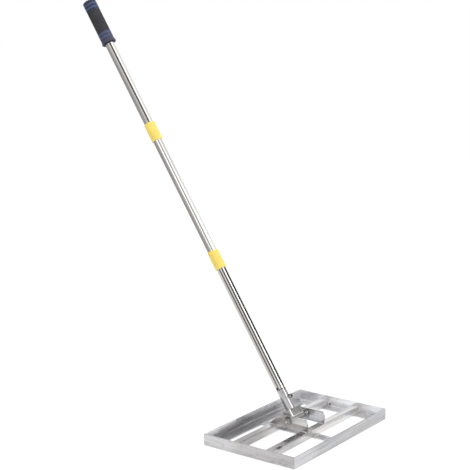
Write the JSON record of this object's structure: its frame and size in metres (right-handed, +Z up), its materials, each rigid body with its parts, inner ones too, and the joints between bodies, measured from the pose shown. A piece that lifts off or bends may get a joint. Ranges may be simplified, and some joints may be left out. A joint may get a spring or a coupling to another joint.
{
  "type": "lawn leveling rake",
  "caption": "Lawn leveling rake: a welded steel grading frame that stands flat on the ground, with a leaning, screwed tube handle on a spring-loaded clevis, and a soft grip.",
  "frame": {"origin": "centre of the frame's footprint, on the ground, under the middle of the centre strap", "axes": "+X along the long rails, away from the near ear; +Y towards the side that the handle leans to; +Z up"},
  "size_m": [0.432, 0.8294, 1.085],
  "materials": {
    "brushed_plate": "brushed along its length, with warm and cool patches",
    "dark_plate": "darker brushed sheet",
    "neck_steel": "matte",
    "tube_steel": "polished lengthwise",
    "insert_steel": "turned",
    "fastener_steel": "bright plated",
    "yellow_plastic": "pale yellow, satin",
    "black_plastic": "matte",
    "grip_foam": "soft foam",
    "navy_rubber": "smooth",
    "blue_rubber": "smooth"
  },
  "bodies": {
    "head": {"front_rail": "brushed_plate", "rear_rail": "brushed_plate", "near_side_rail": "brushed_plate", "far_side_rail": "brushed_plate", "front_crossbar": "brushed_plate", "rear_crossbar": "brushed_plate", "centre_strap": "brushed_plate", "near_ear": "brushed_plate", "far_ear": "brushed_plate", "pivot_bolt": "fastener_steel", "pivot_nut": "fastener_steel", "pivot_washers": "fastener_steel", "thrust_washers": "fastener_steel", "pivot_spring": "fastener_steel"},
    "handle": {"clevis": "dark_plate", "neck_tube": "neck_steel", "neck_welds": "dark_plate", "neck_stud": "insert_steel", "neck_nut": "neck_steel", "neck_bolt": "fastener_steel", "lock_screw": "fastener_steel", "lower_socket": "insert_steel", "lower_tube": "tube_steel", "lower_stud": "insert_steel", "lower_collar": "yellow_plastic", "middle_socket": "insert_steel", "middle_tube": "tube_steel", "middle_stud": "insert_steel", "upper_collar": "yellow_plastic", "upper_socket": "insert_steel", "upper_tube": "tube_steel", "tube_plug": "black_plastic", "grip_sleeve": "grip_foam", "lower_cuff": "navy_rubber", "upper_cuff": "navy_rubber", "grip_rings": "blue_rubber"}
  },
  "joints": [
    {"name": "handle_tilt", "type": "hinge", "parent": "head", "child": "handle", "pos_m": [0, 0, 0.042], "axis": [1, 0, 0], "range_deg": [-52.7, 119.3]}
  ]
}
